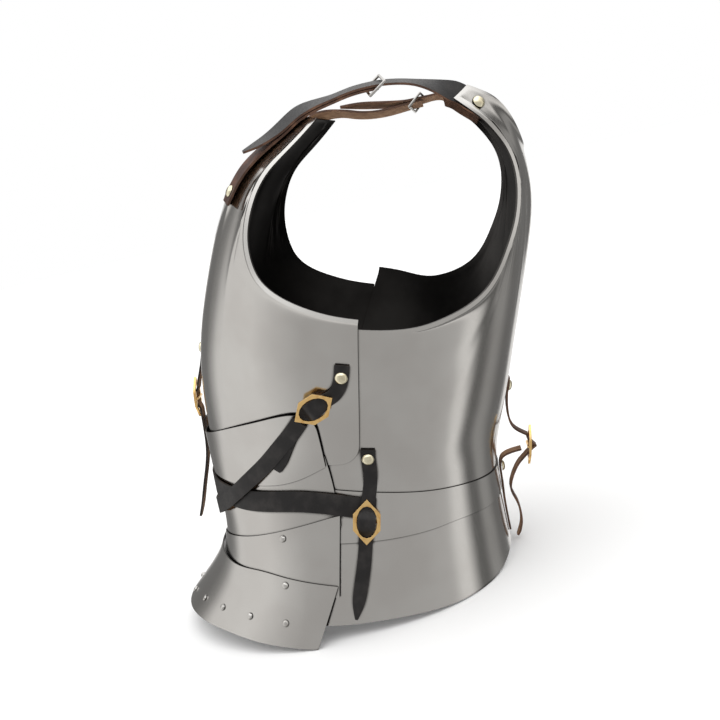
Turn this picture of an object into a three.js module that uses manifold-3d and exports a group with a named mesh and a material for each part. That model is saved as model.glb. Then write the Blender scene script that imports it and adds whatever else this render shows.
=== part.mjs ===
// A steel cuirass: a breastplate with its plackart, waist lame and two fauld lames in front,
// a back plate with its waist lame and culet behind, and the straps, buckles and rivets
// that hold them together. It stands on its two hems, leaning back as it does by itself.
import * as THREE from 'three';
import { mergeVertices } from 'three/addons/utils/BufferGeometryUtils.js';
import Module from 'manifold-3d';

const wasm = await Module();
wasm.setup();

// Driving dimensions in millimetres. The front faces -Y and the wearer's left is +X.
const shoulderHeight = 487; // top of the shoulders above the side of the culet
const chestFront = 165; // deepest point of the chest in front of the middle plane
const chestBack = 175.5; // deepest point of the back behind the middle plane
const chestHalf = 167; // half of the width under the arms
const wall = 1.3; // steel plate
const plateGap = 0.6; // between plates that overlap
const beadHeight = 2.1; // rolled edge round the neck and the armholes
const beadWidth = 6.5;
const stationStep = 6; // degrees between the facets round a lame
const leather = 2.2; // strap thickness
const seatGap = 0.4; // between a piece and what it lies on
const strapWidth = 13.5;
const crossStrapWidth = 16;
const beltWidth = 20;
const shoulderStrapWidth = 23;
const buckleHalfLength = 22;
const buckleHalfWidth = 13.2;
const buckleThick = 2.6;
const buckleBar = 2.2;
const frameWidth = 3.3; // brass beside the opening
const slideWidth = 34; // steel frame on the shoulder
const slideLength = 21;
const slideRim = 2.6;
const studRadius = 6;
const studHeight = 3.4;
const smallRivetRadius = 3;
const smallRivetHeight = 1.8;
const askewRise = 18; // the back plate hangs askew: its right front corner sits higher
const askewTurn = 5;
const askewDrop = 12; // the breastplate's right armhole sits lower by this

// Horizontal sections of the body that the plates follow. Heights are shares of shoulderHeight,
// front of chestFront, back and middle of chestBack, half of chestHalf.
const sections = [
  { height: -0.200, front: 1.270, back: 1.080, half: 1.140, middle: 0.034, square: 2.25 },
  { height: -0.154, front: 1.133, back: 1.037, half: 1.090, middle: 0.034, square: 2.25 },
  { height: -0.092, front: 0.994, back: 0.997, half: 1.042, middle: 0.034, square: 2.25 },
  { height: -0.025, front: 0.876, back: 0.969, half: 1.000, middle: 0.034, square: 2.25 },
  { height: 0.012, front: 0.842, back: 0.946, half: 0.970, middle: 0.034, square: 2.25 },
  { height: 0.045, front: 0.845, back: 0.923, half: 0.946, middle: 0.034, square: 2.25 },
  { height: 0.092, front: 0.861, back: 0.895, half: 0.910, middle: 0.034, square: 2.25 },
  { height: 0.142, front: 0.895, back: 0.863, half: 0.868, middle: 0.034, square: 2.25 },
  { height: 0.185, front: 0.921, back: 0.843, half: 0.844, middle: 0.034, square: 2.25 },
  { height: 0.230, front: 0.945, back: 0.835, half: 0.832, middle: 0.034, square: 2.25 },
  { height: 0.267, front: 0.961, back: 0.840, half: 0.844, middle: 0.034, square: 2.25 },
  { height: 0.318, front: 0.982, back: 0.872, half: 0.880, middle: 0.040, square: 2.30 },
  { height: 0.390, front: 1.000, back: 0.897, half: 0.934, middle: 0.046, square: 2.35 },
  { height: 0.466, front: 1.000, back: 0.917, half: 0.976, middle: 0.051, square: 2.40 },
  { height: 0.550, front: 0.967, back: 0.949, half: 1.000, middle: 0.057, square: 2.40 },
  { height: 0.632, front: 0.921, back: 0.974, half: 1.000, middle: 0.068, square: 2.50 },
  { height: 0.713, front: 0.861, back: 1.000, half: 0.970, middle: 0.085, square: 2.65 },
  { height: 0.770, front: 0.800, back: 1.000, half: 0.910, middle: 0.114, square: 2.90 },
  { height: 0.844, front: 0.679, back: 0.963, half: 0.820, middle: 0.154, square: 3.00 },
  { height: 0.885, front: 0.545, back: 0.926, half: 0.760, middle: 0.188, square: 3.00 },
  { height: 0.928, front: 0.442, back: 0.897, half: 0.695, middle: 0.234, square: 3.00 },
  { height: 0.965, front: 0.291, back: 0.860, half: 0.629, middle: 0.274, square: 3.00 },
  { height: 1.000, front: 0.024, back: 0.786, half: 0.563, middle: 0.313, square: 3.00 },
  { height: 1.020, front: -0.160, back: 0.720, half: 0.500, middle: 0.330, square: 3.00 },
];

const columnNames = ['front', 'back', 'half', 'middle', 'square'];
const form = new THREE.CubicInterpolant(
  sections.map((row) => row.height),
  sections.flatMap((row) => columnNames.map((name) => row[name])),
  columnNames.length,
);

// A point of the bare body. The turn is in degrees from the centre of the front,
// over the wearer's left side to 180 at the centre of the back.
function bare(turn, height) {
  const [front, back, half, middle, square] = form.evaluate(height / shoulderHeight);
  const angle = THREE.MathUtils.degToRad(turn);
  const inFront = Math.cos(angle) > 0;
  const depth = inFront ? front * chestFront + middle * chestBack : (back - middle) * chestBack;
  const across = Math.abs(Math.sin(angle)) / (half * chestHalf);
  const along = Math.abs(Math.cos(angle)) / depth;
  const reach = (across ** square + along ** square) ** (-1 / square);
  const y = middle * chestBack - reach * Math.cos(angle);
  return new THREE.Vector3(reach * Math.sin(angle), y, height);
}

const probe = 0.5; // small step, in degrees and in millimetres

function slopes(turn, height) {
  const across = bare(turn + probe, height).sub(bare(turn - probe, height));
  const up = bare(turn, height + probe).sub(bare(turn, height - probe));
  return { across: across.divideScalar(2 * probe), up: up.divideScalar(2 * probe) };
}

function facing(turn, height) {
  const { across, up } = slopes(turn, height);
  return across.cross(up).normalize();
}

function onForm(turn, height, out) {
  return bare(turn, height).addScaledVector(facing(turn, height), out);
}

// The outer face of a plate in a layer, counted outwards from the back plate.
function layer(count) {
  return count * (wall + plateGap);
}

// A closed body between two grids of points with the same columns and rows.
function closedGrid(outer, inner) {
  const columns = outer.length;
  const rows = outer[0].length;
  const points = [...outer.flat(), ...inner.flat()];
  const faces = [];
  const at = (side, i, j) => side * columns * rows + i * rows + j;
  const quad = (a, b, c, d) => faces.push(a, b, c, a, c, d);
  for (let i = 0; i < columns - 1; i += 1) {
    for (let j = 0; j < rows - 1; j += 1) {
      quad(at(0, i, j), at(0, i + 1, j), at(0, i + 1, j + 1), at(0, i, j + 1));
      quad(at(1, i, j), at(1, i, j + 1), at(1, i + 1, j + 1), at(1, i + 1, j));
    }
  }
  for (let i = 0; i < columns - 1; i += 1) {
    quad(at(1, i, 0), at(1, i + 1, 0), at(0, i + 1, 0), at(0, i, 0));
    quad(at(0, i, rows - 1), at(0, i + 1, rows - 1), at(1, i + 1, rows - 1), at(1, i, rows - 1));
  }
  for (let j = 0; j < rows - 1; j += 1) {
    quad(at(0, 0, j), at(0, 0, j + 1), at(1, 0, j + 1), at(1, 0, j));
    const end = columns - 1;
    quad(at(1, end, j), at(1, end, j + 1), at(0, end, j + 1), at(0, end, j));
  }
  const geometry = new THREE.BufferGeometry().setFromPoints(points);
  geometry.setIndex(faces);
  return geometry;
}

// Points along an outline drawn as turn from the plate's own centre line and share of height.
const arcPerDegree = THREE.MathUtils.degToRad(chestHalf);

function outline(rows, count) {
  const knots = rows.map(([turn, share]) => new THREE.Vector2(turn * arcPerDegree, share * shoulderHeight));
  const points = new THREE.SplineCurve(knots).getSpacedPoints(count);
  return points.map((point) => ({ turn: point.x / arcPerDegree, height: point.y }));
}

// Points of an edge at the stations that all lames share, so that their facets nest.
function stationed(rows, columns) {
  const fine = outline(rows, 200);
  const end = rows.at(-1)[0];
  const shared = columns - 3;
  const points = [];
  for (let index = 0; index <= columns; index += 1) {
    const far = THREE.MathUtils.lerp(shared * stationStep, end, (index - shared) / (columns - shared));
    const turn = index <= shared ? index * stationStep : far;
    const next = fine.findIndex((point) => point.turn >= turn - 0.001);
    const after = fine[Math.max(next, 1)];
    const before = fine[Math.max(next, 1) - 1];
    const t = (turn - before.turn) / (after.turn - before.turn);
    points.push({ turn, height: THREE.MathUtils.lerp(before.height, after.height, t) });
  }
  return points;
}

function straightTable(rows) {
  const positions = rows.map((row) => row[0]);
  const table = new THREE.LinearInterpolant(positions, rows.map((row) => row[1]), 1);
  return (at) => table.evaluate(THREE.MathUtils.clamp(at, positions[0], positions.at(-1)))[0];
}

// Moves a point of an outline into its plate, at a right angle to the outline.
function inward(edge, index, distance, centre) {
  const here = edge[index];
  const before = edge[Math.max(index - 1, 0)];
  const after = edge[Math.min(index + 1, edge.length - 1)];
  const place = (point) => bare(Math.abs(centre - point.turn), point.height);
  const along = place(after).sub(place(before)).normalize();
  const turn = Math.abs(centre - here.turn);
  const into = along.cross(facing(turn, here.height)).normalize();
  if (centre !== 0) into.negate();
  const { across, up } = slopes(turn, here.height);
  const a = across.dot(across);
  const b = across.dot(up);
  const c = up.dot(up);
  const p = into.dot(across) * distance;
  const q = into.dot(up) * distance;
  const fall = a * c - b * b;
  const turnStep = (p * c - q * b) / fall;
  const heightStep = (q * a - p * b) / fall;
  return { turn: here.turn + (centre === 0 ? turnStep : -turnStep), height: here.height + heightStep };
}

// A plate that is alike on both sides of its centre line. Its top edge may carry a rolled bead.
function plate({
  centre, top, bottom, rows, depth, dense = 1, upper = [], stand = () => 0, bead = 0, spread = () => 1,
  askew,
}) {
  const last = top.length - 1;
  const beadRows = bead ? [[1, 0], [0.55, 1], [0, 0.3]] : [[0, 0]];
  const shares = Array.from({ length: rows }, (_, row) => (row / rows) ** dense).concat(upper);
  const outer = [];
  const inner = [];
  for (let column = -last; column <= last; column += 1) {
    const index = Math.abs(column);
    const side = column < 0 ? -1 : 1;
    const edge = askew && side < 0 ? top.map(askew) : top;
    const height = bead * (edge[index].bead ?? 0);
    const rim = beadRows.map(([share, lift]) => (
      { ...inward(edge, index, share * beadWidth, centre), lift: lift * height }));
    const start = bottom[index];
    const startShare = start.turn / spread(start.height);
    const endShare = rim[0].turn / spread(rim[0].height);
    const body = [];
    for (const t of shares) {
      const level = THREE.MathUtils.lerp(start.height, rim[0].height, t);
      const turn = THREE.MathUtils.lerp(startShare, endShare, t) * spread(level);
      body.push({ turn, height: level, lift: 0, t });
    }
    const line = [...body, ...rim.map((point) => ({ ...point, t: 1 }))];
    const put = (point, out) => {
      const turn = centre === 0 ? side * point.turn : 180 - side * point.turn;
      return onForm(turn, point.height, out + stand(point.turn, point.t));
    };
    outer.push(line.map((point) => put(point, depth + point.lift)));
    inner.push(line.map((point) => put(point, depth - wall)));
  }
  if (centre !== 0) {
    outer.reverse();
    inner.reverse();
  }
  return closedGrid(outer, inner);
}

// Shares of the bead along a piece of an edge: it fades out under the straps and the next plate.
const { smoothstep } = THREE.MathUtils;
const beadToEnd = (t) => 1 - smoothstep(t, 0.75, 0.95);
const beadFromStart = (t) => smoothstep(t, 0.02, 0.12);
const beadUnder = (t) => beadFromStart(t) * (1 - smoothstep(t, 0.90, 0.945));
const noBead = () => 0;

function along(pieces) {
  return pieces.flatMap(({ rows, count, bead }, index) => {
    const points = outline(rows, count).map((point, step) => ({ ...point, bead: bead(step / count) }));
    return points.slice(index === 0 ? 0 : 1);
  });
}

// Bottom points under the columns of a top edge that is drawn in pieces.
function under(pieces, heightAt) {
  const points = [{ turn: 0, height: heightAt(0) * shoulderHeight }];
  for (const { count, from, to } of pieces) {
    for (let step = 1; step <= count; step += 1) {
      const turn = THREE.MathUtils.lerp(from, to, step / count);
      points.push({ turn, height: heightAt(turn) * shoulderHeight });
    }
  }
  return points;
}

function band({ centre, top, bottom, depth, columns, rows, dense, stand }) {
  const edges = { top: stationed(top, columns), bottom: stationed(bottom, columns) };
  return plate({ centre, ...edges, rows, depth, dense, stand });
}

const steel = { color: 0xaeaca8, roughness: 0.34, metalness: 1 };
const blackLeather = { color: 0x2e2b29, roughness: 0.6, metalness: 0 };
const brownLeather = { color: 0x5a3a28, roughness: 0.6, metalness: 0 };
const brass = { color: 0xc48a45, roughness: 0.3, metalness: 1 };
const paleBrass = { color: 0xd9cfa9, roughness: 0.35, metalness: 1 };

const upright = new THREE.Group(); // the cuirass as it is worn

function piece(name, geometry, look) {
  const mesh = new THREE.Mesh(geometry, new THREE.MeshStandardMaterial(look));
  mesh.name = name;
  upright.add(mesh);
  return mesh;
}

// Breastplate: neck, shoulder end and armhole, each with the stretch of the bottom below it.
const breastPieces = [
  {
    rows: [[0, 0.768], [15, 0.772], [24, 0.805], [30, 0.862], [36, 0.934]],
    count: 9, from: 0, to: 30, bead: beadToEnd,
  },
  { rows: [[36, 0.934], [54.3, 0.929]], count: 2, from: 30, to: 37, bead: noBead },
  {
    rows: [[54.3, 0.929], [52.9, 0.882], [50.6, 0.845], [48.4, 0.817], [48.7, 0.779], [49.5, 0.738],
      [51, 0.699], [53.4, 0.664], [57, 0.630], [61.7, 0.609], [67.5, 0.592], [75.4, 0.576],
      [81.9, 0.567], [89.3, 0.562]],
    count: 15, from: 37, to: 90.4, bead: beadFromStart,
  },
];
const breastBottom = straightTable([
  [0, 0.214], [30, 0.222], [55, 0.242], [72, 0.260], [83, 0.264], [87, 0.269], [89, 0.277], [90.4, 0.290],
]);
const breastSpread = straightTable([
  [0, 48.4], [0.817, 48.4], [0.845, 50.6], [0.882, 52.9], [0.929, 54.3], [1, 56],
]);

function breastAskew(point) {
  const share = point.height / shoulderHeight;
  const weight = 1 - THREE.MathUtils.smoothstep(share, 0.60, 0.72);
  return { turn: point.turn, height: point.height - askewDrop * weight };
}

piece('breastplate', plate({
  centre: 0,
  top: along(breastPieces),
  bottom: under(breastPieces, breastBottom),
  rows: 7,
  dense: 1.3,
  upper: [0.91],
  depth: layer(1),
  bead: beadHeight,
  spread: (height) => breastSpread(height / shoulderHeight),
  askew: breastAskew,
}), steel);

// Back plate, drawn from the centre of the back: neck, shoulder tongue and armhole.
const backPieces = [
  {
    rows: [[0, 0.879], [12, 0.883], [23, 0.904], [34, 0.945], [44, 0.973], [60, 0.994]],
    count: 9, from: 0, to: 22, bead: beadToEnd,
  },
  { rows: [[60, 0.994], [66.5, 0.968]], count: 2, from: 22, to: 26, bead: noBead },
  {
    rows: [[66.5, 0.968], [59.2, 0.949], [51.7, 0.927], [45.7, 0.902], [39.2, 0.869], [37.2, 0.838],
      [37.9, 0.803], [38.4, 0.763], [39.5, 0.724], [41.2, 0.700], [43.1, 0.664], [44.8, 0.644],
      [48, 0.615], [52.5, 0.594], [57.4, 0.577], [62.7, 0.564], [69.3, 0.549], [75.1, 0.543],
      [82.1, 0.540], [90.3, 0.542], [94, 0.543]],
    count: 16, from: 26, to: 106, bead: beadUnder,
  },
];
const backBottom = straightTable([[0, 0.180], [60, 0.182], [106, 0.190]]);
const backSpread = straightTable([
  [0, 37.2], [0.838, 37.2], [0.869, 39.2], [0.902, 45.7], [0.927, 51.7], [0.949, 59.2], [0.968, 66.5],
  [1, 79],
]);

function backAskew(point) {
  const share = point.height / shoulderHeight;
  const low = 1 - THREE.MathUtils.smoothstep(share, 0.58, 0.64);
  const weight = THREE.MathUtils.smoothstep(point.turn, 58, 92) * low;
  return { turn: point.turn - askewTurn * weight, height: point.height + askewRise * weight };
}

piece('back_plate', plate({
  centre: 180,
  top: along(backPieces),
  bottom: under(backPieces, backBottom),
  rows: 7,
  dense: 1.7,
  upper: [0.87, 0.94],
  depth: layer(0),
  bead: beadHeight,
  spread: (height) => backSpread(height / shoulderHeight),
  askew: backAskew,
}), steel);

// Front lames. Each lower edge below the plackart's lies inside the next plate.
piece('plackart', band({
  centre: 0,
  depth: layer(3),
  columns: 14,
  rows: 4,
  top: [[0, 0.266], [20.4, 0.281], [50.4, 0.340], [63, 0.366], [69, 0.370], [74.9, 0.355]],
  bottom: [[0, 0.186], [22, 0.191], [38.5, 0.196], [59.3, 0.212], [68.2, 0.231], [77.8, 0.262]],
  stand: (turn, t) => 1.2 * t * (1 - THREE.MathUtils.smoothstep(turn, 10, 60)),
}), steel);

piece('front_waist_lame', band({
  centre: 0,
  depth: layer(2),
  columns: 15,
  rows: 7,
  dense: 1.3,
  top: [[0, 0.207], [22, 0.211], [38.5, 0.216], [59, 0.233], [68, 0.252], [77.5, 0.283]],
  bottom: [[0, 0.008], [25, 0.040], [50, 0.075], [77, 0.130], [84, 0.139]],
}), steel);

piece('fauld_upper_lame', band({
  centre: 0,
  depth: layer(3),
  columns: 15,
  rows: 3,
  top: [[0, 0.028], [25, 0.060], [50, 0.096], [77.8, 0.151], [83.4, 0.160]],
  bottom: [[0, -0.024], [40, -0.014], [66, 0.000], [84.5, 0.004]],
}), steel);

piece('fauld_lower_lame', band({
  centre: 0,
  depth: layer(4),
  columns: 15,
  rows: 4,
  top: [[0, 0.012], [37.6, 0.018], [55, 0.032], [66, 0.030], [84, 0.026]],
  bottom: [[0, -0.142], [12, -0.136], [32.5, -0.118], [47.7, -0.106], [60.8, -0.103], [78.6, -0.096]],
  stand: (turn, t) => 2.4 * t * (1 - THREE.MathUtils.smoothstep(turn, 20, 62)),
}), steel);

// Back lames, drawn from the centre of the back and running forward under the front ones.
piece('back_waist_lame', band({
  centre: 180,
  depth: layer(1),
  columns: 18,
  rows: 3,
  top: [[0, 0.196], [44, 0.203], [62, 0.203], [87, 0.207], [112, 0.213]],
  bottom: [[0, 0.138], [45, 0.139], [63, 0.126], [80, 0.114], [98, 0.105], [112, 0.100]],
}), steel);

piece('culet', band({
  centre: 180,
  depth: layer(0),
  columns: 18,
  rows: 4,
  top: [[0, 0.160], [45, 0.160], [80, 0.136], [98, 0.126], [108, 0.122]],
  bottom: [[0, 0.022], [13, 0.020], [23, 0.011], [41, -0.009], [59, -0.023], [80, -0.037], [92, -0.048],
    [108, -0.056]],
}), steel);

// A place on or off the body: the point and the way that it faces.
function seat(turn, share, out) {
  const height = share * shoulderHeight;
  return { at: onForm(turn, height, out), face: facing(turn, height) };
}

function mirrored({ at, face }) {
  const flip = new THREE.Vector3(-1, 1, 1);
  return { at: at.clone().multiply(flip), face: face.clone().multiply(flip) };
}

// A strap through its places, its underside on them. Both ends may narrow to a tip.
const tipShares = {
  square: [[0, 1]],
  round: [[0, 0.55], [0.45, 1]],
  point: [[0, 0.2], [0.5, 0.8], [0.9, 1]],
};

function strap(places, width, { perPlace = 1, startTip = 'square', endTip = 'square' } = {}) {
  const route = new THREE.CatmullRomCurve3(places.map((place) => place.at));
  const faces = new THREE.CatmullRomCurve3(places.map((place) => place.face));
  const length = route.getLength();
  const stations = tipShares[startTip].map(([reach, share]) => [reach * width / length, share]);
  const steps = (places.length - 1) * perPlace;
  const first = stations.at(-1)[0];
  const ending = tipShares[endTip].map(([reach, share]) => [1 - reach * width / length, share]).reverse();
  for (let step = 1; step < steps; step += 1) {
    const t = step / steps;
    if (t > first + 0.3 / steps && t < ending[0][0] - 0.3 / steps) stations.push([t, 1]);
  }
  stations.push(...ending);
  const outer = [];
  const inner = [];
  for (const [t, share] of stations) {
    const at = route.getPoint(t);
    const tangent = route.getTangent(t);
    const side = tangent.clone().cross(faces.getPoint(t)).normalize();
    const up = side.clone().cross(tangent).normalize();
    const half = side.multiplyScalar(share * width / 2);
    const underside = [at.clone().add(half), at.clone().sub(half)];
    inner.push(underside);
    outer.push(underside.map((point) => point.clone().addScaledVector(up, leather)));
  }
  return closedGrid(outer, inner);
}

function pair(name, places, width, look, options) {
  piece(`${name}_left`, strap(places, width, options), look);
  piece(`${name}_right`, strap(places.map(mirrored), width, options), look);
}

// A buckle on a strap: its middle, what a millimetre upwards along it is in turn and share,
// and how far its underside stands off the body near its lower and its upper end.
const sideBuckle = { turn: 75.2, share: 0.391, turnStep: 0.306, shareStep: 0.00116, low: 11.7, high: 7.0 };
const waistBuckle = { turn: 93.6, share: 0.150, turnStep: 0.003, shareStep: 0.00205, low: 6.4, high: 9.2 };
const frontBuckle = { turn: 0, share: 0.330, turnStep: 0, shareStep: 0.00205, low: 12.9, high: 12.9 };
const backBuckle = { turn: 180, share: 0.228, turnStep: 0, shareStep: 0.00205, low: 35, high: 35 };

function alongBuckle(buckle, reach, rise) {
  const stand = THREE.MathUtils.lerp(buckle.low, buckle.high, (reach / buckleHalfLength + 1) / 2);
  const turn = buckle.turn + reach * buckle.turnStep;
  return seat(turn, buckle.share + reach * buckle.shareStep, stand + rise);
}

// The hump of a strap in a buckle: down from the upper end, over the bar, to the lower end.
function through(buckle, bump = 1.9, lower = -3.2) {
  return [
    alongBuckle(buckle, 14.5, -3.1), alongBuckle(buckle, 10.6, -3.1), alongBuckle(buckle, 5, 0.7),
    alongBuckle(buckle, 0, bump), alongBuckle(buckle, -5, 0.7), alongBuckle(buckle, -10.6, lower),
  ];
}

const onBreast = layer(1) + seatGap;
const onPlackart = layer(3) + seatGap;
const onWaistLame = layer(1) + seatGap;
const overTail = onPlackart + leather + seatGap + 0.2;

// Side straps: riveted to the breastplate, through the buckle, with the tail under the cross strap.
pair('side_strap', [
  seat(84.4, 0.475, onBreast), seat(84.2, 0.450, onBreast), seat(83.6, 0.431, onBreast),
  seat(81.8, 0.414, onBreast + 0.3), ...through(sideBuckle, 1.9, -4.2),
  seat(69.4, 0.357, onPlackart), seat(66, 0.328, onPlackart), seat(62.4, 0.286, onPlackart),
  seat(59.2, 0.246, onPlackart),
], strapWidth, blackLeather, { endTip: 'round' });

// Cross strap: from one side buckle down over the belt, round the front and up to the other.
const crossHalf = [
  seat(70.2, 0.363, overTail - 0.1), seat(67.5, 0.341, overTail), seat(62, 0.304, overTail),
  seat(55.6, 0.260, overTail), seat(47, 0.210, overTail), seat(38.5, 0.166, overTail + 0.2),
  seat(28, 0.132, overTail + 0.2), seat(19, 0.117, onPlackart + 0.8), seat(10, 0.108, onPlackart),
];
const crossPlaces = [...crossHalf, seat(0, 0.104, onPlackart), ...crossHalf.map(mirrored).reverse()];
piece('cross_strap', strap(crossPlaces, crossStrapWidth, { perPlace: 2 }), blackLeather);

// Waist belt: from one side round the front to the other, under the cross strap.
const beltHalf = [
  seat(97, 0.176, onWaistLame + 0.1), seat(90, 0.177, onWaistLame + 0.3),
  seat(86.4, 0.179, onWaistLame + 0.8), seat(82.4, 0.182, layer(2) + 1.1),
  seat(76, 0.184, layer(2) + 1), seat(66, 0.183, layer(2) + 1), seat(50, 0.170, onPlackart - 0.5),
  seat(38, 0.166, onPlackart), seat(22, 0.163, onPlackart),
];
const beltPlaces = [...beltHalf, seat(0, 0.164, onPlackart), ...beltHalf.map(mirrored).reverse()];
piece('waist_belt', strap(beltPlaces, beltWidth, { perPlace: 2 }), blackLeather);

// Waist straps: riveted to the back plate, over the belt's end, through the buckle and hanging.
pair('waist_strap', [
  seat(93.7, 0.298, seatGap), seat(93.9, 0.278, seatGap), seat(95, 0.250, seatGap + 0.3),
  seat(95, 0.222, onWaistLame + 0.8), seat(94.4, 0.200, onWaistLame + leather + 1.2),
  ...through(waistBuckle), seat(93.3, 0.118, onWaistLame + 0.4),
  seat(93.1, 0.098, onWaistLame + 0.2), seat(92.7, 0.070, 1.6), seat(91.9, 0.036, 1.2),
  seat(91, 0.000, 1.6), seat(90.2, -0.036, 3.0),
], strapWidth, blackLeather, { endTip: 'point' });

// Centre straps in front and behind, each through a buckle that stands off the plates.
piece('front_strap', strap([
  seat(0, 0.466, onBreast), seat(0, 0.440, onBreast), seat(0, 0.415, onBreast + 1), seat(0, 0.390, 5.8),
  ...through(frontBuckle), seat(0, 0.296, 10), seat(0, 0.262, 10), seat(0, 0.226, 10.4),
  seat(0, 0.190, 13.5), seat(0, 0.135, 24), seat(0, 0.096, 30.4), seat(0, 0.055, 36),
], strapWidth, { endTip: 'round' }), blackLeather);

piece('plackart_strap', strap([
  seat(0, 0.285, 6.8), seat(0, 0.262, onPlackart + 1.2),
  seat(0, 0.240, onPlackart + 1), seat(0, 0.208, onPlackart + 0.2),
], strapWidth), blackLeather);

piece('back_strap', strap([
  seat(180, 0.382, seatGap), seat(180, 0.363, seatGap), seat(180, 0.340, 0.8), seat(180, 0.310, 4.3),
  seat(180, 0.283, 11.3), seat(180, 0.268, 19.5), ...through(backBuckle, 6.5),
  seat(180, 0.196, 27.5), seat(180, 0.180, 20.8), seat(180, 0.150, 13.2), seat(180, 0.127, 9.2),
  seat(180, 0.108, 11), seat(180, 0.088, 15), seat(180, 0.051, 15.5), seat(180, 0.030, 11.5),
  seat(180, 0.016, 7),
], strapWidth, { endTip: 'round' }), brownLeather);

piece('culet_strap', strap([
  seat(180, 0.034, seatGap), seat(180, 0.070, seatGap), seat(180, 0.110, seatGap + 0.4),
  seat(180, 0.140, onWaistLame + 0.2), seat(180, 0.165, onWaistLame), seat(180, 0.188, onWaistLame + 0.3),
  seat(180, 0.203, 5), seat(180, 0.211, 12), seat(180, 0.217, 20), seat(180, 0.221, 27),
], strapWidth), brownLeather);

// Shoulder straps. The chest strap ends in the buckle, and the tail of the back strap lies on it.
const strapLine = 90; // from the middle plane to the middle of a shoulder strap
const tailRise = leather + seatGap;
const underTongue = -wall - seatGap - leather - 3.2; // a flat strap inside a round plate

function overShoulder(y, drop, x = strapLine) {
  const height = shoulderHeight - drop;
  const rise = height - shoulderHeight * 0.80;
  return { at: new THREE.Vector3(x, y, height), face: new THREE.Vector3(0.35, (y - 40) / 90, rise / 60) };
}

function onChest(share, out) {
  const [front, , half, middle, square] = form.evaluate(share);
  const x = strapLine - 1;
  const depth = front * chestFront + middle * chestBack;
  const reach = depth * (1 - (x / (half * chestHalf)) ** square) ** (1 / square);
  return seat(THREE.MathUtils.radToDeg(Math.atan2(x, reach)), share, out);
}

const chestPlaces = [
  onChest(0.764, onBreast), onChest(0.800, onBreast + 0.1), onChest(0.835, onBreast + 0.1),
  onChest(0.870, onBreast + 0.8), onChest(0.905, onBreast + 1.0), onChest(0.932, onBreast + 1.2),
];
const tonguePlaces = [
  seat(111.5, 0.990, underTongue - 0.4), seat(117.5, 0.983, underTongue - 0.4),
  seat(122.6, 0.971, underTongue - 0.2), seat(128.2, 0.958, underTongue), seat(133.5, 0.946, underTongue),
];

piece('chest_strap_left', strap([
  ...chestPlaces, overShoulder(-21, 19), overShoulder(-4, 12), overShoulder(12, 7.8),
  overShoulder(23, 5.8),
], shoulderStrapWidth, { perPlace: 2 }), brownLeather);

piece('shoulder_strap_left', strap([
  onChest(0.846, onBreast + 11), onChest(0.872, onBreast + 6.5), onChest(0.905, onBreast + tailRise + 1.7),
  onChest(0.935, onBreast + tailRise + 1.7), overShoulder(-22, 19 - tailRise),
  overShoulder(-5, 12 - tailRise), overShoulder(11, 7.6 - tailRise), overShoulder(30, 4.4 - tailRise),
  overShoulder(58, 2, strapLine + 1), ...tonguePlaces,
], shoulderStrapWidth, { startTip: 'point', perPlace: 2 }), blackLeather);

// The right ones hang slack, with the buckle further back and the tail free in front of it.
piece('chest_strap_right', strap([
  ...chestPlaces, overShoulder(-24, 27.2), overShoulder(-8, 29), overShoulder(10, 28.6),
  overShoulder(28, 25.5), overShoulder(46, 20.4), overShoulder(58, 17.1), overShoulder(64, 15.8),
].map(mirrored), shoulderStrapWidth, { perPlace: 2 }), brownLeather);

piece('shoulder_strap_right', strap([
  overShoulder(-27, 20.5), overShoulder(-8, 19), overShoulder(10, 18.4), overShoulder(28, 17.8),
  overShoulder(46, 16.6), overShoulder(58, 16.6 - tailRise), overShoulder(68, 14.4 - tailRise),
  overShoulder(84, 8, strapLine + 1), ...tonguePlaces,
].map(mirrored), shoulderStrapWidth, { startTip: 'point', perPlace: 2 }), blackLeather);

// A rectangular steel buckle on the shoulder and pointed brass ones elsewhere.
function toSolid(geometry) {
  const bareGeometry = geometry.clone();
  bareGeometry.deleteAttribute('normal');
  bareGeometry.deleteAttribute('uv');
  const merged = mergeVertices(bareGeometry);
  return new wasm.Manifold(new wasm.Mesh({
    numProp: 3,
    vertProperties: new Float32Array(merged.attributes.position.array),
    triVerts: new Uint32Array(merged.index.array),
  }));
}

function fromSolid(solid) {
  const { vertProperties, triVerts } = solid.getMesh();
  const geometry = new THREE.BufferGeometry();
  geometry.setAttribute('position', new THREE.BufferAttribute(vertProperties, 3));
  geometry.setIndex(new THREE.BufferAttribute(triVerts, 1));
  return geometry;
}

function pointedFrame() {
  const shoulder = buckleHalfLength * 0.36;
  const shape = new THREE.Shape([
    new THREE.Vector2(0, buckleHalfLength), new THREE.Vector2(-buckleHalfWidth, shoulder),
    new THREE.Vector2(-buckleHalfWidth, -shoulder), new THREE.Vector2(0, -buckleHalfLength),
    new THREE.Vector2(buckleHalfWidth, -shoulder), new THREE.Vector2(buckleHalfWidth, shoulder),
  ]);
  const opening = new THREE.Path();
  opening.absellipse(0, 0, buckleHalfWidth - frameWidth, buckleHalfLength - 2 * frameWidth, 0, 2 * Math.PI);
  shape.holes.push(opening);
  const settings = { depth: buckleThick, bevelEnabled: false, curveSegments: 8 };
  const frame = new THREE.ExtrudeGeometry(shape, settings);
  const barLength = 2 * buckleHalfWidth - frameWidth;
  const bar = new THREE.BoxGeometry(barLength, buckleBar, buckleBar);
  bar.translate(0, 0, 0.4 - buckleBar / 2);
  return fromSolid(toSolid(frame).add(toSolid(bar)));
}

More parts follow.
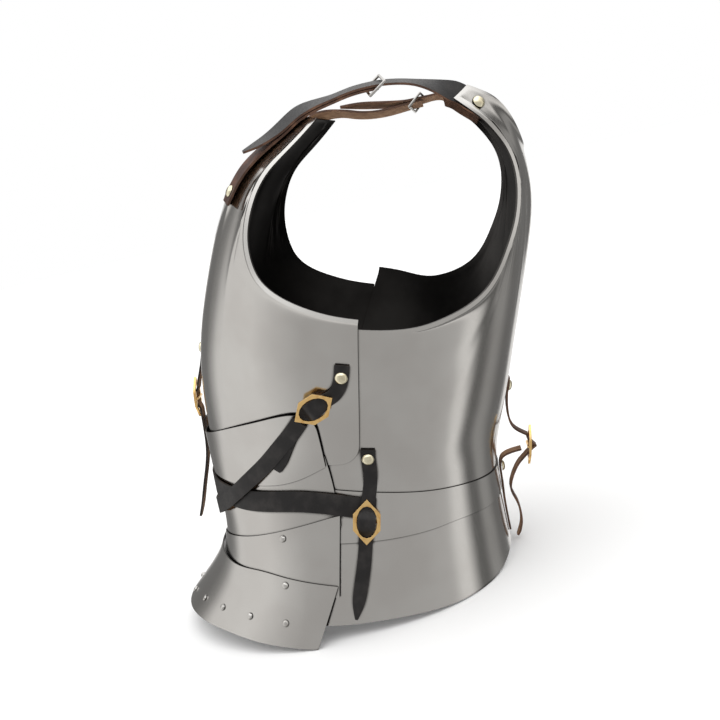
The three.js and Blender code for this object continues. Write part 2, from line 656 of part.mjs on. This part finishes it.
function slidingFrame() {
  const half = slideWidth / 2;
  const long = slideLength / 2;
  const outer = new THREE.Shape([
    new THREE.Vector2(-half, -long), new THREE.Vector2(half, -long),
    new THREE.Vector2(half, long), new THREE.Vector2(-half, long),
  ]);
  const rim = slideRim;
  outer.holes.push(new THREE.Path([
    new THREE.Vector2(rim - half, rim - long), new THREE.Vector2(rim - half, long - rim),
    new THREE.Vector2(half - rim, long - rim), new THREE.Vector2(half - rim, rim - long),
  ]));
  const frame = new THREE.ExtrudeGeometry(outer, { depth: slideRim, bevelEnabled: false });
  return frame.translate(0, 0, -slideRim / 2);
}

// Sets a piece in its place with its Y axis ahead and its Z axis outwards.
function settle(mesh, { at, face }, ahead) {
  const x = ahead.clone().cross(face).normalize();
  const y = ahead.clone().normalize();
  const z = x.clone().cross(y);
  mesh.position.copy(at);
  mesh.quaternion.setFromRotationMatrix(new THREE.Matrix4().makeBasis(x, y, z));
}

function mirroredAhead(ahead) {
  return ahead.clone().multiply(new THREE.Vector3(-1, 1, 1));
}

function fasten(name, buckle, paired) {
  const place = alongBuckle(buckle, 0, 0);
  const ahead = alongBuckle(buckle, 10, 0).at.sub(alongBuckle(buckle, -10, 0).at);
  if (!paired) {
    settle(piece(name, pointedFrame(), brass), place, ahead);
    return;
  }
  settle(piece(`${name}_left`, pointedFrame(), brass), place, ahead);
  settle(piece(`${name}_right`, pointedFrame(), brass), mirrored(place), mirroredAhead(ahead));
}

fasten('side_buckle', sideBuckle, true);
fasten('waist_buckle', waistBuckle, true);
fasten('front_buckle', frontBuckle, false);
fasten('back_buckle', backBuckle, false);

const ring = { at: overShoulder(19, 3.8).at, face: new THREE.Vector3(0.44, -1, 1) };
const slackRing = { at: overShoulder(58, 14.4).at, face: new THREE.Vector3(0.44, -1.3, 1) };
const steeper = new THREE.Vector3(0, 1, 1.3);
settle(piece('shoulder_buckle_left', slidingFrame(), steel), ring, new THREE.Vector3(0, 1, 1));
settle(piece('shoulder_buckle_right', slidingFrame(), steel), mirrored(slackRing), steeper);

// Rivets: domes on the straps and on the lames.
const clearance = 0.4; // between a rivet's head and what it lies on

function dome(radius, height, segments) {
  const profile = [
    new THREE.Vector2(0, 0), new THREE.Vector2(radius, 0), new THREE.Vector2(radius * 0.75, height * 0.75),
    new THREE.Vector2(0, height),
  ];
  return new THREE.LatheGeometry(profile, segments).rotateX(Math.PI / 2);
}

function stud(name, place, look) {
  const mesh = piece(name, dome(studRadius, studHeight, 10), look);
  settle(mesh, place, new THREE.Vector3(0, 0, 1).projectOnPlane(place.face));
}

function studPair(name, place, look) {
  stud(`${name}_left`, place, look);
  stud(`${name}_right`, mirrored(place), look);
}

const onStrap = leather + clearance;
studPair('side_rivet', seat(84.2, 0.450, onBreast + onStrap), paleBrass);
studPair('waist_rivet', seat(93.9, 0.278, seatGap + onStrap + 0.2), paleBrass);
studPair('chest_rivet', onChest(0.786, onBreast + onStrap), paleBrass);
studPair('shoulder_rivet', seat(126.2, 0.962, clearance - 0.7), paleBrass);
stud('front_rivet', seat(0, 0.440, onBreast + onStrap + 0.3), paleBrass);
stud('back_rivet', seat(180, 0.363, seatGap + onStrap + 0.2), paleBrass);
stud('culet_rivet', seat(180, 0.178, onWaistLame + 0.9 + onStrap), paleBrass);

const lameRivets = [
  { turn: 62.6, share: 0.105, lift: layer(3) },
  { turn: 65.9, share: 0.016, lift: layer(4) + 0.3 },
  { turn: 67.6, share: -0.055, lift: layer(4) },
  { turn: 54, share: -0.062, lift: layer(4) + 0.1 },
  { turn: 40, share: -0.074, lift: layer(4) + 0.3 },
  { turn: 25, share: -0.092, lift: layer(4) + 0.6 },
  { turn: 6.3, share: -0.123, lift: layer(4) + 0.6 },
];
const smallDome = dome(smallRivetRadius, smallRivetHeight, 7);

function smallRivet(name, place) {
  const ahead = new THREE.Vector3(0, 0, 1).projectOnPlane(place.face);
  settle(piece(name, smallDome, steel), place, ahead);
}

smallRivet('plackart_rivet', seat(0, 0.214, onPlackart + 0.5 + onStrap));
lameRivets.forEach(({ turn, share, lift }, index) => {
  const place = seat(turn, share, lift + clearance);
  smallRivet(`lame_rivet_${index + 1}_left`, place);
  smallRivet(`lame_rivet_${index + 1}_right`, mirrored(place));
});

// It rests on the hem of the fauld and the hem of the culet: lean it back until both touch the floor.
function lowest(name, lean) {
  const corner = new THREE.Vector3();
  const { position } = upright.getObjectByName(name).geometry.attributes;
  let low = Infinity;
  for (let index = 0; index < position.count; index += 1) {
    corner.fromBufferAttribute(position, index);
    low = Math.min(low, corner.z * Math.cos(lean) - corner.y * Math.sin(lean));
  }
  return low;
}

let least = 0;
let most = 0.5;
for (let step = 0; step < 40; step += 1) {
  const lean = (least + most) / 2;
  if (lowest('fauld_lower_lame', lean) < lowest('culet', lean)) least = lean;
  else most = lean;
}
upright.rotation.x = -least;

const cuirass = new THREE.Group();
cuirass.add(upright);
const box = new THREE.Box3().setFromObject(cuirass, true);
upright.position.set(0, -(box.min.y + box.max.y) / 2, -box.min.z);

export default cuirass;
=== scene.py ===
import math

import bmesh
import bpy
from mathutils import Matrix, Vector


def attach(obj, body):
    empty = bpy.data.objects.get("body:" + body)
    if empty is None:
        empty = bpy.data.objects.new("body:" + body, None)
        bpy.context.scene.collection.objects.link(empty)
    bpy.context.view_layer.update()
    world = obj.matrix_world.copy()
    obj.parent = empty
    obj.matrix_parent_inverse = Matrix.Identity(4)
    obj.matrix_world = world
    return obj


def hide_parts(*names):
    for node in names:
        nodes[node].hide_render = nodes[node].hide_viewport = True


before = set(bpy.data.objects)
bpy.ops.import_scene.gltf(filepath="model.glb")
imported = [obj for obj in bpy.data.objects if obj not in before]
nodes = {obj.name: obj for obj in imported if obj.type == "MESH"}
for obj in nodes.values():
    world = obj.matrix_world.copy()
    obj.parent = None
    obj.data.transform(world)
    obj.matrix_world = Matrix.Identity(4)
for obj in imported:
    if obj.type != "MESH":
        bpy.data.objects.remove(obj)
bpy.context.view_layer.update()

mm = 0.001
scene = bpy.context.scene


# Shader building: a socket with arithmetic, and one method for every other node.
class Socket:
    def __init__(self, tree, out):
        self.tree = tree
        self.out = out

    def maths(self, operation, first, second):
        node = self.tree.nodes.new("ShaderNodeMath")
        node.operation = operation
        for place, value in zip(node.inputs, (first, second)):
            if isinstance(value, Socket):
                self.tree.links.new(value.out, place)
            else:
                place.default_value = value
        return Socket(self.tree, node.outputs[0])

    def __add__(self, other):
        return self.maths("ADD", self, other)

    def __radd__(self, other):
        return self.maths("ADD", other, self)

    def __mul__(self, other):
        return self.maths("MULTIPLY", self, other)

    def __rmul__(self, other):
        return self.maths("MULTIPLY", other, self)


def fillRamp(band, stops):
    band.elements.remove(band.elements[0])
    for index, (place, shade) in enumerate(stops):
        stop = band.elements[0] if index == 0 else band.elements.new(place)
        stop.position = place
        stop.color = shade


class Shader:
    def __init__(self, owner, surface="Principled BSDF"):
        owner.use_nodes = True
        self.owner = owner
        self.tree = owner.node_tree
        self.surface = self.tree.nodes[surface]

    def node(self, kind, settings=None, values=None, output=0):
        made = self.tree.nodes.new(kind)
        for key, value in (settings or {}).items():
            if key == "stops":
                fillRamp(made.color_ramp, value)
            else:
                setattr(made, key, value)
        for key, value in (values or {}).items():
            if isinstance(value, Socket):
                self.tree.links.new(value.out, made.inputs[key])
            else:
                made.inputs[key].default_value = value
        return Socket(self.tree, made.outputs[output])

    def place(self, scale=(1, 1, 1)):
        coordinates = self.node("ShaderNodeTexCoord", output="Object")
        return self.node("ShaderNodeVectorMath", {"operation": "MULTIPLY"}, {0: coordinates, 1: scale})

    def noise(self, vector, scale, detail):
        values = {"Vector": vector, "Scale": scale, "Detail": detail, "Roughness": 0.55}
        return self.node("ShaderNodeTexNoise", None, values, "Fac")

    # A soft step: the value's range becomes the range from low to high.
    def span(self, value, limits, low=0.0, high=1.0):
        values = {"Value": value, "From Min": limits[0], "From Max": limits[1], "To Min": low, "To Max": high}
        return self.node("ShaderNodeMapRange", {"interpolation_type": "SMOOTHSTEP"}, values, "Result")

    def mix(self, factor, first, second):
        settings = {"data_type": "RGBA", "clamp_factor": True}
        return self.node("ShaderNodeMix", settings, {0: factor, 6: first, 7: second}, 2)

    def bump(self, height, strength, distance):
        values = {"Height": height, "Strength": strength, "Distance": distance}
        return self.node("ShaderNodeBump", None, values, "Normal")

    def feed(self, name, value):
        if isinstance(value, Socket):
            self.tree.links.new(value.out, self.surface.inputs[name])
        else:
            self.surface.inputs[name].default_value = value


def colour(red, green, blue):
    return (red, green, blue, 1.0)


# Painted shade lies in the seams, where one plate's edge stands on the next: the base colour darkens where
# ambient occlusion finds a near surface.
seamShade = {"reach": 4.5 * mm, "samples": 12, "limits": (0.50, 0.88), "colour": colour(0.035, 0.032, 0.030)}
brushing = {
    "scale": 1100, "stretch": (1, 1, 0.03), "detail": 2, "limits": (0.3, 0.7), "uneven": 0.03,
    "relief": 0.03, "depth": 0.1 * mm,
}
clouding = {"scale": 14, "detail": 3, "limits": (0.35, 0.7)}


def steelShader(name, light, dark, rough):
    shader = Shader(bpy.data.materials.new(name))
    streaks = shader.noise(shader.place(brushing["stretch"]), brushing["scale"], brushing["detail"])
    clouds = shader.noise(shader.place(), clouding["scale"], clouding["detail"])
    finish = shader.mix(shader.span(clouds, clouding["limits"]), light, dark)
    # Painted shade: the base colour darkens towards the seam colour where ambient occlusion finds a near
    # surface.
    values = {"Distance": seamShade["reach"]}
    seamOcclusion = shader.node("ShaderNodeAmbientOcclusion", {"samples": seamShade["samples"]}, values, "AO")
    depth = shader.span(seamOcclusion, seamShade["limits"])
    roughness = shader.span(streaks, brushing["limits"], rough - brushing["uneven"], rough + brushing["uneven"])
    shader.feed("Base Color", shader.mix(depth, seamShade["colour"], finish))
    shader.feed("Roughness", roughness)
    shader.feed("Normal", shader.bump(streaks, brushing["relief"], brushing["depth"]))
    shader.feed("Metallic", 1.0)
    return shader.owner


grain = {
    "scale": 700, "detail": 4, "limits": (0.3, 0.7), "smoother": 0.05, "rougher": 0.1,
    "depth": 0.4 * mm, "shine": 0.3,
}
wear = {"scale": 60, "detail": 4, "limits": (0.4, 0.75)}


def leatherShader(name, light, dark, rough, relief=0.25):
    shader = Shader(bpy.data.materials.new(name))
    creases = shader.noise(shader.place(), grain["scale"], grain["detail"])
    worn = shader.noise(shader.place(), wear["scale"], wear["detail"])
    roughness = shader.span(creases, grain["limits"], rough - grain["smoother"], rough + grain["rougher"])
    shader.feed("Base Color", shader.mix(shader.span(worn, wear["limits"]), dark, light))
    shader.feed("Roughness", roughness)
    shader.feed("Normal", shader.bump(creases, relief, grain["depth"]))
    shader.feed("Specular IOR Level", grain["shine"])
    return shader.owner


tarnish = {"scale": 160, "detail": 4, "limits": (0.45, 0.75), "dullLimits": (0.3, 0.8), "duller": 0.15}


def brassShader(name, light, dark, rough):
    shader = Shader(bpy.data.materials.new(name))
    spots = shader.noise(shader.place(), tarnish["scale"], tarnish["detail"])
    shader.feed("Base Color", shader.mix(shader.span(spots, tarnish["limits"]), light, dark))
    shader.feed("Roughness", shader.span(spots, tarnish["dullLimits"], rough, rough + tarnish["duller"]))
    shader.feed("Metallic", 1.0)
    return shader.owner


steel = steelShader("steel", colour(0.56, 0.55, 0.53), colour(0.52, 0.505, 0.485), 0.17)
# Painted shade: the inner skin of the plates is a darkened copy of the steel, standing in for the shade inside
# the hollow.
shadedInnerSteel = steelShader("inner_steel_painted_shade", colour(0.055, 0.052, 0.050), colour(0.030, 0.028, 0.027), 0.38)
# Painted shade: the cut edges of the plates are darkened steel, standing in for the shadow in the gaps between
# plates.
shadedPlateEdge = steelShader("plate_edge_painted_shade", colour(0.10, 0.095, 0.09), colour(0.05, 0.048, 0.045), 0.45)
blackLeather = leatherShader("black_leather", colour(0.026, 0.023, 0.022), colour(0.010, 0.009, 0.009), 0.42)
brownLeather = leatherShader("brown_leather", colour(0.15, 0.065, 0.040), colour(0.055, 0.025, 0.018), 0.5)
cutEdge = leatherShader("cut_edge", colour(0.17, 0.085, 0.05), colour(0.07, 0.035, 0.022), 0.6)
darkEdge = leatherShader("dark_edge", colour(0.045, 0.032, 0.026), colour(0.018, 0.014, 0.012), 0.6)
fleshSide = leatherShader("flesh_side", colour(0.50, 0.30, 0.17), colour(0.33, 0.18, 0.10), 0.8, 0.4)
brass = brassShader("brass", colour(0.92, 0.62, 0.26), colour(0.74, 0.42, 0.14), 0.13)
paleBrass = brassShader("pale_brass", colour(0.84, 0.78, 0.58), colour(0.66, 0.58, 0.40), 0.16)
print("materials ready")

# Angles are in radians. An edge sharper than crisp stays a hard corner.
merging = {"gap": 0.02 * mm, "flat": 0.9, "shape": 3.2, "crisp": 0.9}


# A merged copy of a node's mesh, in its place.
def merged(name):
    source = nodes[name]
    mesh = bmesh.new()
    mesh.from_mesh(source.data)
    mesh.transform(source.matrix_world)
    bmesh.ops.remove_doubles(mesh, verts=mesh.verts, dist=merging["gap"])
    bmesh.ops.recalc_face_normals(mesh, faces=mesh.faces)
    return mesh


# The same with its triangles joined to quads.
def refined(name):
    mesh = merged(name)
    bmesh.ops.join_triangles(
        mesh, faces=mesh.faces, angle_face_threshold=merging["flat"], angle_shape_threshold=merging["shape"],
        cmp_seam=False, cmp_sharp=False, cmp_uvs=False, cmp_vcols=False, cmp_materials=False,
    )
    return mesh


def crispEdges(mesh):
    return [
        edge for edge in mesh.edges
        if len(edge.link_faces) == 2 and edge.calc_face_angle(0) > merging["crisp"]
    ]


def finished(mesh, name, materials, smooth=True):
    data = bpy.data.meshes.new(name)
    mesh.to_mesh(data)
    mesh.free()
    for material in materials:
        data.materials.append(material)
    for face in data.polygons:
        face.use_smooth = smooth
    made = bpy.data.objects.new(name, data)
    scene.collection.objects.link(made)
    return made


def subdivided(made, levels):
    modifier = made.modifiers.new("smooth", "SUBSURF")
    modifier.levels = levels
    modifier.render_levels = levels


# The skins of a sheet are the parts that its sharp edges bound. The outer one shows the finish,
# the inner one the back, and the narrow walls between them the cut edge. Sharp edges stay sharp.
def paintSkins(mesh, outwards, sharp=0.95):
    crease = mesh.edges.layers.float.new("crease_edge")
    for edge in mesh.edges:
        edge.smooth = len(edge.link_faces) == 2 and edge.calc_face_angle(0) < sharp
        edge[crease] = 0.0 if edge.smooth else 1.0
    skins = []
    seen = set()
    for start in mesh.faces:
        if start in seen:
            continue
        skin = []
        stack = [start]
        seen.add(start)
        while stack:
            face = stack.pop()
            skin.append(face)
            for edge in face.edges:
                if not edge.smooth:
                    continue
                for other in edge.link_faces:
                    if other not in seen:
                        seen.add(other)
                        stack.append(other)
        skins.append(skin)
    skins.sort(key=lambda skin: -sum(face.calc_area() for face in skin))
    broad = sorted(skins[:2], key=lambda skin: -sum(face.calc_area() * outwards(face) for face in skin))
    for skin in skins[2:]:
        for face in skin:
            face.material_index = 1
    for face in broad[1]:
        face.material_index = 2
    return len(skins)


body = {"axis": 10 * mm, "shoulders": 400 * mm, "lift": 2.5}


# Away from the upright axis of the chest, and upwards as well above the shoulders' height.
def awayFrom(place, lifted=False):
    rise = max(place.z - body["shoulders"], 0) * body["lift"] if lifted else 0
    return Vector((place.x, place.y - body["axis"], rise)).normalized()


def outOfPlate(face):
    return face.normal.dot(awayFrom(face.calc_center_median()))


def outOfStrap(face):
    return face.normal.dot(awayFrom(face.calc_center_median(), lifted=True))


plates = {
    "levels": 2,
    "names": [
        "breastplate", "plackart", "front_waist_lame", "fauld_upper_lame", "fauld_lower_lame",
        "back_plate", "back_waist_lame", "culet",
    ],
}
for name in plates["names"]:
    mesh = refined(name)
    count = paintSkins(mesh, outOfPlate)
    # The plates' cut edges and inner skins take darkened copies of the steel, painted shade.
    piece = finished(mesh, name + "_sheet", [steel, shadedPlateEdge, shadedInnerSteel])
    subdivided(piece, plates["levels"])
    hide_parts(name)
    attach(piece, "root")
    print("plate", name, "skins", count)

# The leather swells inside a buckle and fills its opening.
swell = {"reach": 14 * mm, "near": 11 * mm, "wider": 0.36, "higher": 1.5 * mm}


def swollen(mesh, buckle):
    corners = [buckle.matrix_world @ corner.co for corner in buckle.data.vertices]
    middle = sum(corners, Vector()) / len(corners)
    along = (max(corners, key=lambda corner: (corner - middle).length) - middle).normalized()
    away = awayFrom(middle)
    away = (away - along * away.dot(along)).normalized()
    across = away.cross(along)
    for corner in mesh.verts:
        offset = corner.co - middle
        place, apart = offset.dot(along), offset.dot(across)
        if abs(place) > swell["reach"] or max(abs(apart), abs(offset.dot(away))) > swell["near"]:
            continue
        part = (1 - (place / swell["reach"]) ** 2) ** 2
        corner.co += across * apart * swell["wider"] * part + away * swell["higher"] * part


straps = {
    "levels": 3,
    "black": [
        "side_strap_left", "side_strap_right", "cross_strap", "waist_belt", "waist_strap_left",
        "waist_strap_right", "front_strap", "plackart_strap", "shoulder_strap_left", "shoulder_strap_right",
    ],
    "brown": ["back_strap", "culet_strap", "chest_strap_left", "chest_strap_right"],
    "swollen": ("side_strap", "waist_strap"),
}
for name in straps["black"] + straps["brown"]:
    mesh = refined(name)
    if name.startswith(straps["swollen"]):
        swollen(mesh, nodes[name.replace("strap", "buckle")])
    count = paintSkins(mesh, outOfStrap)
    black = name in straps["black"]
    edgeFinish = darkEdge if black and "shoulder" not in name else cutEdge
    finish = [blackLeather if black else brownLeather, edgeFinish, fleshSide]
    piece = finished(mesh, name + "_leather", finish)
    subdivided(piece, straps["levels"])
    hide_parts(name)
    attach(piece, "root")
    print("strap", name, "skins", count)

# Buckles: the frames with their edges rounded. Those of the shoulders are steel rings.
buckles = {"round": 0.95 * mm, "segments": 4, "flat": math.radians(2), "shaded": math.radians(50)}
for name in sorted(nodes):
    if "buckle" not in name:
        continue
    mesh = merged(name)
    bmesh.ops.dissolve_limit(
        mesh, angle_limit=buckles["flat"], verts=mesh.verts, edges=mesh.edges, use_dissolve_boundaries=False,
    )
    bmesh.ops.bevel(
        mesh, geom=crispEdges(mesh), offset=buckles["round"], segments=buckles["segments"], profile=0.5,
        affect="EDGES", material=-1, clamp_overlap=True,
    )
    steelOne = name.startswith("shoulder")
    piece = finished(mesh, name + "_cast", [steel if steelOne else brass])
    piece.data.set_sharp_from_angle(angle=buckles["shaded"])
    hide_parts(name)
    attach(piece, "root")
print("buckles ready")

# Rivets: round heads, their foot kept crisp. The photo shows them a little broader.
rivets = {"levels": 3, "foot": 0.8, "broaderSmall": 1.3, "broader": 1.1}


# Each head of a node grows about its own middle.
def grow(mesh, factor):
    seen = set()
    for start in mesh.verts:
        if start in seen:
            continue
        seen.add(start)
        head = [start]
        for corner in head:
            for edge in corner.link_edges:
                other = edge.other_vert(corner)
                if other not in seen:
                    seen.add(other)
                    head.append(other)
        middle = sum((corner.co for corner in head), Vector()) / len(head)
        for corner in head:
            corner.co = middle + (corner.co - middle) * factor


for name in sorted(nodes):
    if "rivet" not in name:
        continue
    mesh = refined(name)
    crease = mesh.edges.layers.float.new("crease_edge")
    for edge in crispEdges(mesh):
        edge[crease] = rivets["foot"]
    small = "lame" in name or "plackart" in name
    grow(mesh, rivets["broaderSmall"] if small else rivets["broader"])
    piece = finished(mesh, name + "_head", [steel if small else paleBrass])
    subdivided(piece, rivets["levels"])
    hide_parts(name)
    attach(piece, "root")
print("rivets ready")

# The floor is pale and seamless. The steel mirrors the room and not the floor.
stage = {"reach": 9.0, "floor": colour(0.93, 0.93, 0.93), "rough": 0.9}
floorMesh = bmesh.new()
bmesh.ops.create_grid(floorMesh, x_segments=1, y_segments=1, size=stage["reach"])
floorShader = Shader(bpy.data.materials.new("floor"))
floorShader.feed("Base Color", stage["floor"])
floorShader.feed("Roughness", stage["rough"])
floor = finished(floorMesh, "floor", [floorShader.owner], smooth=False)
floor.visible_glossy = False

# The room by compass: 0 ahead of the breast, 90 on the wearer's left, where the camera stands.
# Bright and dark screens stand round the cuirass under a bright ceiling.
# A view straight past it meets a white backdrop. Heights are those of a direction's unit vector.
room = {
    "ceiling": colour(1.75, 1.75, 1.75),
    "backdrop": colour(1.0, 1.0, 1.0),
    "warmth": (1.0, 0.985, 0.965),
    "screens": [
        (-180, 0.50), (-174, 0.16), (-164, 0.18), (-154, 0.42), (-144, 0.38), (-132, 0.20), (-114, 0.20),
        (-109, 1.0), (-71, 1.0), (-66, 0.20), (-46, 0.22), (-36, 0.36), (-24, 0.95), (20, 1.0), (40, 0.78),
        (56, 0.60), (90, 0.57), (135, 0.60), (154, 0.66), (163, 1.0), (172, 1.05), (180, 0.50),
    ],
    "wallToCeiling": (0.35, 0.80),
}
studio = Shader(bpy.data.worlds.new("studio"), "Background")
direction = studio.node("ShaderNodeTexCoord", output="Generated")
right, behind, rise = (studio.node("ShaderNodeSeparateXYZ", None, {0: direction}, axis) for axis in "XYZ")
compass = studio.node("ShaderNodeMath", {"operation": "ARCTAN2"}, {0: right, 1: -1 * behind})
share = compass * (0.5 / math.pi) + 0.5


stops = []
for degrees, shade in room["screens"]:
    stops.append(((degrees + 180) / 360, colour(*(shade * part for part in room["warmth"]))))
walls = studio.node("ShaderNodeValToRGB", {"stops": stops}, {0: share})
sky = studio.mix(studio.span(rise, room["wallToCeiling"]), walls, room["ceiling"])
seenStraight = studio.node("ShaderNodeLightPath", output="Is Camera Ray")
studio.feed("Color", studio.mix(seenStraight, sky, room["backdrop"]))
scene.world = studio.owner
print("room ready")

# The camera stood level with the cuirass upright: it leans with it by the same angle and shift.
view = {
    "azimuth": math.radians(93.3),
    "down": math.atan2(230, 1120),
    "place": Vector((1148.1, 66.2, 438)) * mm,
    "lens": 54.86,
    "sensor": 36,
    "nearest": 50 * mm,
    "lean": math.radians(13.967),
    "shift": Vector((0, -33.24, 36.71)) * mm,
}
turn, down = view["azimuth"], view["down"]
back = Vector((math.sin(turn) * math.cos(down), -math.cos(turn) * math.cos(down), math.sin(down)))
side = Vector((0, 0, 1)).cross(back).normalized()
up = back.cross(side)
upright = Matrix((side, up, back)).transposed().to_4x4()
upright.translation = view["place"]
camera = bpy.data.objects.new("camera", bpy.data.cameras.new("camera"))
camera.data.lens = view["lens"]
camera.data.sensor_width = view["sensor"]
camera.data.clip_start = view["nearest"]
camera.matrix_world = Matrix.Translation(view["shift"]) @ Matrix.Rotation(-view["lean"], 4, "X") @ upright
scene.collection.objects.link(camera)
scene.camera = camera

scene.view_settings.view_transform = "Standard"
